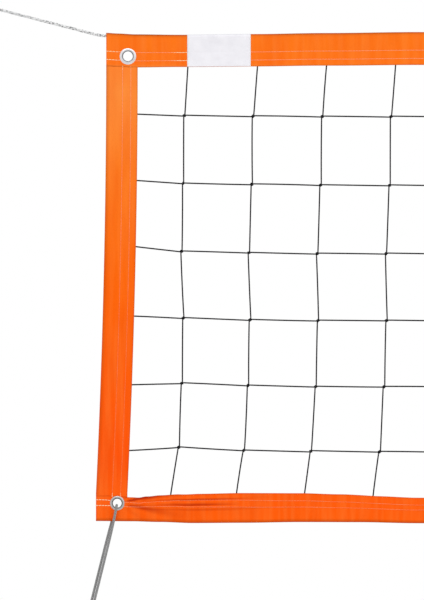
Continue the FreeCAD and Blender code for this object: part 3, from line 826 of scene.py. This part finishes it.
def top_point(x, depth, way, grow=0.0):
    """A point on the top band: way is -1 on the front leaf and 1 on the back."""
    from_end = HALF_LENGTH - abs(x)
    seams = [between(table, from_end) for table in TOP_SEAMS]
    half, drop = fold_leaf(depth, ROPE_FOLD, seams[0], grow)
    loose = min(max((depth - 0.006) / 0.01, 0.0), 1.0)
    in_tunnel = bump_at(depth, 0.02, 0.013)
    swell = 0.0008 * wander(x * 11, depth * 9, 1 + way) + 0.0004 * wander(x * 42, depth * 20, 5 + way)
    half += loose * (swell * (0.25 + in_tunnel) + seam_pinch(depth, seams) + mesh_puckers(x, depth, seams[0]))
    half += 0.00016 * loose * wander(x * 120, depth * 160, 9 + way) * bump_at(depth, seams[0] + 0.008, 0.013)
    gain = between(TOP_GAIN, from_end)
    scale = 1 + gain / TOP_HEIGHT
    z = TOP - TAPE / 2 + between(TOP_EDGE, from_end) - drop * scale
    return Vector((x, way * half, z))


def foot_folds(x, z, depth):
    """The pull creases round a bottom eyelet and the long folds beyond them, about -1 to 1 each."""
    pull = radial_creases(abs(x) - FOOT_EYELET.x, z - FOOT_EYELET.z, PULL_REACH)
    from_end = HALF_FOOT - abs(x)
    folds = bump_at(from_end, *LONG_FOLD_PLACE) * math.sin(depth * 620 + 2.2 * wander(x * 6, 0, 7))
    return pull, folds * bump_at(depth, *LONG_FOLD_DEPTH)


def foot_crease_shade(point, depth):
    """How deep in a crease a point of the bottom band is, from 0 to 1; this sets how much painted shade the
    crease gets.
    """
    pull, folds = foot_folds(point.x, point.z, depth)
    return min(1.0, max(0.0, -pull * 1.3) + max(0.0, -folds * 1.5))


def foot_point(x, depth, way, grow=0.0):
    """A point on the bottom band, whose depth runs up from the bottom fold."""
    from_end = HALF_FOOT - abs(x)
    seams = [between(table, from_end) for table in FOOT_SEAMS]
    half, rise = fold_leaf(depth, FOOT_FOLD, 0.004, grow)
    loose = min(max((depth - 0.004) / 0.008, 0.0), 1.0)
    scale = 1 + between(FOOT_GAIN, from_end) / FOOT_HEIGHT * min(depth / 0.045, 1.0)
    z = BOTTOM + TAPE / 2 + between(FOOT_EDGE, from_end) + rise * scale
    pull, folds = foot_folds(x, z, depth)
    pull *= PULL
    folds *= LONG_FOLD
    swell = 0.0003 * wander(x * 9, depth * 16, 2 + way) + 0.00012 * wander(x * 60, depth * 40, 6 + way)
    half += loose * (abs(pull) * 0.7 + pull * 0.6 + abs(folds) * 0.8 + folds * 0.5 + swell * 0.8)
    half += loose * (seam_pinch(depth, seams) + mesh_puckers(x, depth, seams[0]))
    return Vector((x, way * max(half, 0.0011), z))


def side_fold(z):
    """Where the side fold is at a height."""
    low = BOTTOM + FOOT_HEIGHT
    high = TOP - TOP_HEIGHT
    depth = min(max((high - z) / (high - low), 0.0), 1.0)
    return HALF_LENGTH + STRETCH * depth ** 2


def side_point(side, z, depth, way, grow=0.0):
    """A point on a side band, whose depth runs in from the side fold."""
    half, inwards = fold_leaf(depth, FOOT_FOLD, 0.004, grow)
    loose = min(max((depth - 0.003) / 0.006, 0.0), 1.0)
    streaks = 0.0006 * wander(depth * 170, z * 3.0, 11 + way + side)
    streaks += 0.0002 * wander(depth * 90, z * 26, 15 + way)
    half += loose * (streaks + seam_pinch(depth, SIDE_SEAMS))
    high = TOP - TOP_HEIGHT
    low = BOTTOM + FOOT_HEIGHT - 0.008
    tucked = min(max(max(z - high + 0.0035, low - z + 0.0035) / 0.004, 0.0), 1.0) * min(depth / 0.002, 1.0)
    half = half + (TUCKED_HALF + grow - half) * tucked
    half = min(half, max(depth, 0.0004) + grow) if depth < FOOT_FOLD else half
    x = side_fold(z) - TAPE / 2 - inwards
    return Vector((side * x, way * half, z))


def paint(piece, name, values):
    """Stores one number for each vertex."""
    layer = piece.data.attributes.new(name, "FLOAT", "POINT")
    layer.data.foreach_set("value", values)


def cut_hole(mesh, centre, radius):
    """Takes out the faces inside a round hole and draws its edge onto the circle."""
    shape = bmesh.new()
    shape.from_mesh(mesh)
    flat = Vector((centre.x, centre.z))
    gone = [face for face in shape.faces
            if (Vector((face.calc_center_median().x, face.calc_center_median().z)) - flat).length < radius]
    bmesh.ops.delete(shape, geom=gone, context="FACES")
    for vertex in shape.verts:
        off = Vector((vertex.co.x, vertex.co.z)) - flat
        if off.length < radius * 1.25 and vertex.is_boundary:
            off = off.normalized() * radius
            vertex.co.x = flat.x + off.x
            vertex.co.z = flat.y + off.y
    shape.to_mesh(mesh)
    shape.free()


def tape_piece(name, rows, fold_and_edge_shade, material, holes=(), thickness=TAPE, crease_shade=None):
    """A folded tape from rows of points, given its thickness."""
    mesh = grid_mesh(name, rows)
    piece = new_object(name, mesh)
    # painted shade along folds and edges, and in creases, for the material to read
    paint(piece, "fold_and_edge_shade", fold_and_edge_shade)
    if crease_shade:
        paint(piece, "crease_shade", crease_shade)
    for centre, radius in holes:
        cut_hole(mesh, centre, radius)
    solid = piece.modifiers.new("thickness", "SOLIDIFY")
    solid.thickness = thickness
    solid.offset = 0
    mesh.materials.append(material)
    return settle(piece)


def both_leaves(rows):
    """Depths for the back leaf, up to the fold, and down the front leaf, with the side of each."""
    back = [(depth, 1) for depth in reversed(rows)]
    front = [(depth, -1) for depth in rows[1:]]
    return back + front


def fold_and_edge_shade_at(depth, height, fold_share, edge_share):
    """How much painted shade the tape gets at a depth: along the fold and at the free edge."""
    return fold_share * bump_at(depth, 0, FOLD_SHADE_REACH) + edge_share * bump_at(depth, height, EDGE_SHADE_REACH)


def two_holes(centre, radius):
    """The same hole at each end of a band."""
    return (centre, radius), (Vector((-centre.x, centre.y, centre.z)), radius)


def make_top_band():
    rows = []
    fold_and_edge_shade = []
    places = both_leaves(depths(TOP_HEIGHT, ROPE_FOLD, TOP_SEAM_ROWS))
    for x in stations(HALF_LENGTH, TOP_EYELET.x):
        rows.append([top_point(x, depth, way) for depth, way in places])
        # how strong the painted shade along the fold is, varying along the band
        grime_and_shade = 0.75 + 0.35 * wander(x * 9, 0, 21)
        fold_and_edge_shade += [fold_and_edge_shade_at(depth, TOP_HEIGHT, grime_and_shade, 0.45) for depth, way in places]
    band = tape_piece("top_tape", rows, fold_and_edge_shade, TARPAULIN, two_holes(TOP_EYELET, TOP_CUT))
    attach(band, "net")
    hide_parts("top_band")


def make_bottom_band():
    rows = []
    fold_and_edge_shade = []
    crease_shade = []
    places = both_leaves(depths(FOOT_HEIGHT, FOOT_FOLD, FOOT_SEAM_ROWS))
    for x in stations(HALF_FOOT, FOOT_EYELET.x):
        rows.append([foot_point(x, depth, way) for depth, way in places])
        fold_and_edge_shade += [fold_and_edge_shade_at(depth, FOOT_HEIGHT, 0.6, 0.4) for depth, way in places]
        # painted shade: darker the deeper a point lies in a crease
        crease_shade += [foot_crease_shade(point, depth) for point, (depth, way) in zip(rows[-1], places)]
    holes = two_holes(FOOT_EYELET, FOOT_CUT)
    band = tape_piece("bottom_tape", rows, fold_and_edge_shade, TARPAULIN, holes, crease_shade=crease_shade)
    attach(band, "net")
    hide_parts("bottom_band")


def make_side_band(end, side):
    rows = []
    fold_and_edge_shade = []
    places = both_leaves(depths(SIDE_WIDTH, FOOT_FOLD, SIDE_SEAMS))
    high = TOP - TOP_HEIGHT + TOP_TUCK
    low = BOTTOM + SIDE_FOOT
    for i in range(SIDE_STEPS + 1):
        z = high + (low - high) * i / SIDE_STEPS
        rows.append([side_point(side, z, depth, way) for depth, way in places])
        fold_and_edge_shade += [fold_and_edge_shade_at(depth, SIDE_WIDTH, 0.35, 0.4) for depth, way in places]
    if side > 0:
        rows.reverse()
    band = tape_piece(end + "_side_tape", rows, fold_and_edge_shade, TARPAULIN)
    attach(band, "net")
    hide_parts(end + "_side_band")


def make_label():
    """The patch follows the top band's skin, front, fold and back."""
    rows = []
    fold_and_edge_shade = []
    rise = TAPE / 2 + LABEL_THICKNESS / 2 + 0.0001
    height = TOP_HEIGHT - 0.0006
    places = both_leaves(depths(height, ROPE_FOLD, TOP_SEAM_ROWS))
    for i in range(LABEL_STEPS + 1):
        x = LABEL_LOW.x + (LABEL_HIGH.x - LABEL_LOW.x) * i / LABEL_STEPS
        rows.append([top_point(x, depth, way, rise) for depth, way in places])
        # painted shade along the label's fold
        fold_and_edge_shade += [0.5 * bump_at(depth, 0, 0.0013) for depth, way in places]
    label = tape_piece("label", rows, fold_and_edge_shade, LABEL_CLOTH, (), LABEL_THICKNESS)
    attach(label, "net")
    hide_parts("label_patch")


def make_rope_core():
    """The rope inside the top band's tunnel, which follows the band and so swings with it."""
    places = stations(HALF_LENGTH, TOP_EYELET.x)[::4]
    places[-1] = HALF_LENGTH
    line = []
    for x in places:
        from_end = HALF_LENGTH - abs(x)
        line.append(Vector((x, 0, between(TOP_EDGE, from_end) * min(from_end / ROPE_LEVELS_OUT, 1))))
    core = core_layer(ROPE / 2 - 0.0002, 10, 0.02, WIRE)
    rope = apply_tree(poly_line("rope_in_tunnel", [line]), STRANDS, core)
    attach(rope, "net")
    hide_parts("rope_core")


# ---- mesh ----
def column_x(index):
    return -HALF_LENGTH + FIRST_COLUMN + index * COLUMN_PITCH


def row_z(index):
    span = TOP - BOTTOM - FIRST_ROW - LAST_ROW
    return TOP - FIRST_ROW - index * span / (ROWS - 1)


def knot_place(column, row):
    """Where a knot lies: row -1 is the top border and row ROWS the bottom border."""
    x = column_x(column)
    side = -1 if x < 0 else 1
    from_end = HALF_LENGTH - abs(x)
    near = math.exp(-(from_end / 1.8) ** 2)
    order = min(column, COLUMNS - 1 - column)
    lean = COLUMN_LEAN[row + 1] * near + END_LEAN[row + 1] * math.exp(-order / 1.3)
    x -= side * lean / 1000
    if row < 0:
        z = TOP - TOP_BORDER
    elif row >= ROWS:
        z = BOTTOM + FOOT_BORDER
    else:
        z = row_z(row) + (FIRST_RISE[row] * math.exp(-order / 1.2) - ROW_DROP[row]) * near / 1000
        x += 0.0012 * wander(column * 7.7, row * 5.3, 31)
        z += 0.0012 * wander(column * 6.1, row * 9.7, 33)
    return Vector((x, 0, z))


def clear_of_eyelets(line):
    """The stretch of a border cord that the eyelets leave."""
    eyes = (TOP_EYELET, FOOT_EYELET)
    return [point for point in line
            if min(math.hypot(abs(point.x) - eye.x, point.z - eye.z) for eye in eyes) > BORDER_GAP]


def make_mesh():
    """Cords up and across, each stepping a little to one side at its knots, and the border cords."""
    verts = []
    edges = []
    marked = []

    def cord(points):
        start = len(verts)
        verts.extend(points)
        marked.extend([0.0] * len(points))
        edges.extend((start + i, start + i + 1) for i in range(len(points) - 1))

    def bowed(a, b, bow):
        """Points from a to b, with a slight curve."""
        across = Vector((-(b - a).z, 0, (b - a).x)).normalized() * bow
        return [a.lerp(b, share) + across * 4 * share * (1 - share) for share in (0.12, 0.35, 0.65, 0.88)]

    for column in range(COLUMNS):
        points = [knot_place(column, -1)]
        for row in range(ROWS + 1):
            start, end = points[-1], knot_place(column, row)
            step = 0.0 if row == ROWS else KNOT_STEP * (0.6 + 0.5 * abs(wander(column * 3.3, row * 4.1, 35)))
            side = Vector((step, 0, 0))
            bow = 0.0014 * wander(column * 8.3, row * 2.9, 37)
            points += bowed(start, end + side, bow)
            points += [end + side, end - side] if step else [end]
            if step:
                points[-2].z += KNOT_HALF
                points[-1].z -= KNOT_HALF
        cord(points)
    for row in range(ROWS):
        z = row_z(row) + SIDE_RISE[row] / 1000
        points = [Vector((-side_fold(z) + SIDE_BORDER, 0, z))]
        for column in range(COLUMNS + 1):
            start = points[-1]
            if column == COLUMNS:
                last = Vector((side_fold(z) - SIDE_BORDER, 0, z))
                points += bowed(start, last, 0.0006) + [last]
                break
            end = knot_place(column, row)
            lift = Vector((0, 0, 0.0009 + 0.0006 * wander(column * 5.9, row * 3.7, 39)))
            bow = 0.0009 * wander(column * 4.7, row * 8.9, 41)
            points += bowed(start, end - lift, bow)
            points += [end - lift - Vector((KNOT_HALF, 0, 0)), end + lift + Vector((KNOT_HALF, 0, 0))]
        cord(points)
    steps, side_steps = BORDER_STEPS
    for z in (TOP - TOP_BORDER, BOTTOM + FOOT_BORDER):
        reach = side_fold(z) - SIDE_BORDER
        cord(clear_of_eyelets([Vector((-reach + 2 * reach * i / steps, 0, z)) for i in range(steps + 1)]))
    span = TOP - BOTTOM - TOP_BORDER - FOOT_BORDER
    heights = [TOP - TOP_BORDER - span * i / side_steps for i in range(side_steps + 1)]
    for side in (-1, 1):
        cord(clear_of_eyelets([Vector((side * (side_fold(z) - SIDE_BORDER), 0, z)) for z in heights]))
    for column in range(COLUMNS):
        for row in range(ROWS):
            verts.append(knot_place(column, row))
            marked.append(1.0)
    mesh = bpy.data.meshes.new("net")
    mesh.from_pydata(verts, edges, [])
    piece = new_object("net_mesh", mesh)
    paint(piece, "knot", marked)
    values = {"Cord radius": CORD / 2, "Wrap radius": KNOT_WRAP, "Wrap cord": KNOT_CORD, "Tilt": 0.5,
              "Seed": 4, "Finish": NET_CORD}
    net = apply_tree(piece, KNOTTED, values)
    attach(net, "net")
    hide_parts("mesh_panel")


# ---- seams ----
def seam_rows():
    """The seams' stitched stretches: a name, the lines of points and the face that they are on."""
    lift = TAPE / 2 + 0.00005
    bands = (("top", top_point, TOP_SEAMS, HALF_LENGTH, TOP_EYELET, TOP_SEAM_GAP),
             ("bottom", foot_point, FOOT_SEAMS, HALF_FOOT, FOOT_EYELET, FOOT_SEAM_GAP))
    high = TOP - TOP_HEIGHT - 0.0015
    low = BOTTOM + FOOT_HEIGHT - 0.006
    heights = [high + (low - high) * i / SIDE_SEAM_STEPS for i in range(SIDE_SEAM_STEPS + 1)]
    for way, face in ((-1, "front"), (1, "back")):
        for level, point_of, seams, half, eyelet, gap in bands:
            places = stations(half - 0.002, eyelet.x)
            lines = [[point_of(x, between(table, half - abs(x)), way, lift) for x in places]
                     for table in seams]
            yield f"{level}_stitches_{face}", broken(lines, eyelet, gap), way
        lines = [[side_point(side, z, depth, way, lift) for z in heights]
                 for side in (-1, 1) for depth in SIDE_SEAMS]
        yield "side_stitches_" + face, lines, way


def broken(lines, eyelet, radius):
    """The same lines without what an eyelet or the label covers."""
    kept = []
    for line in lines:
        run = []
        for point in line:
            near_eyelet = math.hypot(abs(point.x) - eyelet.x, point.z - eyelet.z) < radius
            under_label = point.z > -0.1 and LABEL_LOW.x - 0.001 < point.x < LABEL_HIGH.x + 0.001
            if near_eyelet or under_label:
                if len(run) > 1:
                    kept.append(run)
                run = []
            else:
                run.append(point)
        if len(run) > 1:
            kept.append(run)
    return kept


def freshness(point):
    """How cream a stitch looks: most at the corners and beside the label."""
    corner = max(bump_at(abs(point.x), HALF_LENGTH + 0.005, 0.035), bump_at(abs(point.x), HALF_FOOT, 0.045))
    beside = bump_at(point.x, LABEL_LOW.x - 0.012, 0.014) if point.z > -0.1 else 0.0
    height = (point.z - BOTTOM) / (TOP - BOTTOM)
    on_side = BOTTOM + FOOT_HEIGHT < point.z < TOP - TOP_HEIGHT - 0.01
    plain = 0.34 * height * height if on_side else 0.07 + 0.2 * height
    corner = 0.0 if on_side else corner
    return min(1.0, max(0.0, plain + corner + 0.9 * beside + 0.1 * wander(point.x * 40, point.z * 40, 43)))


def make_stitches():
    for name, lines, way in seam_rows():
        values = {"Pitch": STITCH_PITCH, "Stitch": STITCH, "Thread radius": THREAD / 2, "Out": float(way),
                  "Finish": THREAD_CLOTH}
        piece = apply_tree(poly_line(name, lines), STITCHES, values)
        paint(piece, "fresh", [freshness(vertex.co) for vertex in piece.data.vertices])
        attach(piece, "net")


# ---- metal ----
def finish_metal():
    """The metal keeps its shape and gets its plating."""
    for end, _ in ENDS:
        for level in ("top", "bottom"):
            for part in ("eyelet", "eyelet_washer"):
                plate(f"{end}_{level}_{part}", NICKEL[level])
        for name in ("rope_thimble", "hook_body", "hook_gate", "hook_pin"):
            plate(f"{end}_{name}", ZINC)
        plate(end + "_rope_ferrule", ALUMINIUM)


def plate(node, material):
    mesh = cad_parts[node].data
    mesh.materials.clear()
    mesh.materials.append(material)


# ---- studio ----
def make_studio():
    floor = bpy.data.meshes.new("floor")
    low = TOP - NET_TOP_ABOVE_COURT
    corners = [(x * FLOOR, y * FLOOR, low) for x, y in ((-1, -1), (1, -1), (1, 1), (-1, 1))]
    floor.from_pydata(corners, [], [(0, 1, 2, 3)])
    floor.materials.append(floor_cloth())
    new_object("floor", floor)
    world = bpy.data.worlds.new("white room")
    world.use_nodes = True
    fill(world.node_tree.nodes["Background"], Color=(1, 1, 1, 1), Strength=1.0)
    bpy.context.scene.world = world
    bpy.context.scene.view_settings.view_transform = "Standard"
    for name, place, aim_height, size, power in LAMPS:
        lamp = bpy.data.lights.new(name, "AREA")
        lamp.shape = "RECTANGLE"
        lamp.size, lamp.size_y = size
        lamp.energy = power
        holder = new_object(name, lamp)
        holder.location = place
        aim_line = Vector((place[0], 0, aim_height)) - Vector(place)
        holder.rotation_euler = aim_line.to_track_quat("-Z", "Y").to_euler()


make_camera()
for end, side in ENDS:
    make_rope(end, side)
    make_tie(end, side)
make_rope_core()
make_top_band()
make_bottom_band()
for end, side in ENDS:
    make_side_band(end, side)
make_label()
make_mesh()
make_stitches()
finish_metal()
make_studio()
